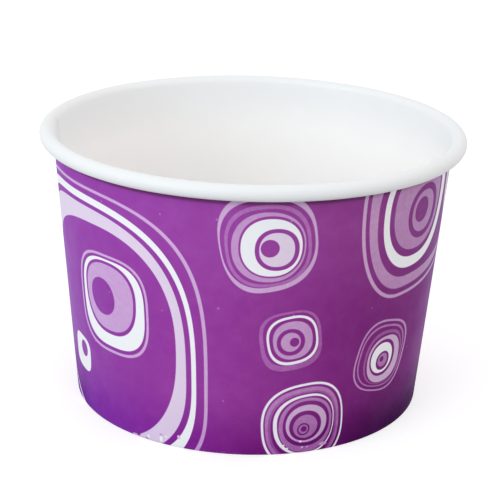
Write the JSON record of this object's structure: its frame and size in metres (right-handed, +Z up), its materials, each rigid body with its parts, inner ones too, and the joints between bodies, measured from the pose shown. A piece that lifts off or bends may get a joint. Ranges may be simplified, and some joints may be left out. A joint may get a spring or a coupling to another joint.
{
  "type": "paper dessert cup",
  "caption": "Round paper cup for ice cream or dessert, with a rolled rim, a lapped side seam, a folded foot and a recessed base, printed with rounded rings.",
  "frame": {"origin": "middle of the ring that the cup stands on, at the bottom of the foot", "axes": "+Z up the cup's axis, out of its mouth; -Y towards the side that the picture shows; the side seam is near -X"},
  "size_m": [0.096, 0.096, 0.063],
  "materials": {
    "printed_board": "satin",
    "white_board": "satin"
  },
  "bodies": {
    "root": {"cup_wall": "printed_board", "cup_base": "white_board"}
  },
  "joints": []
}
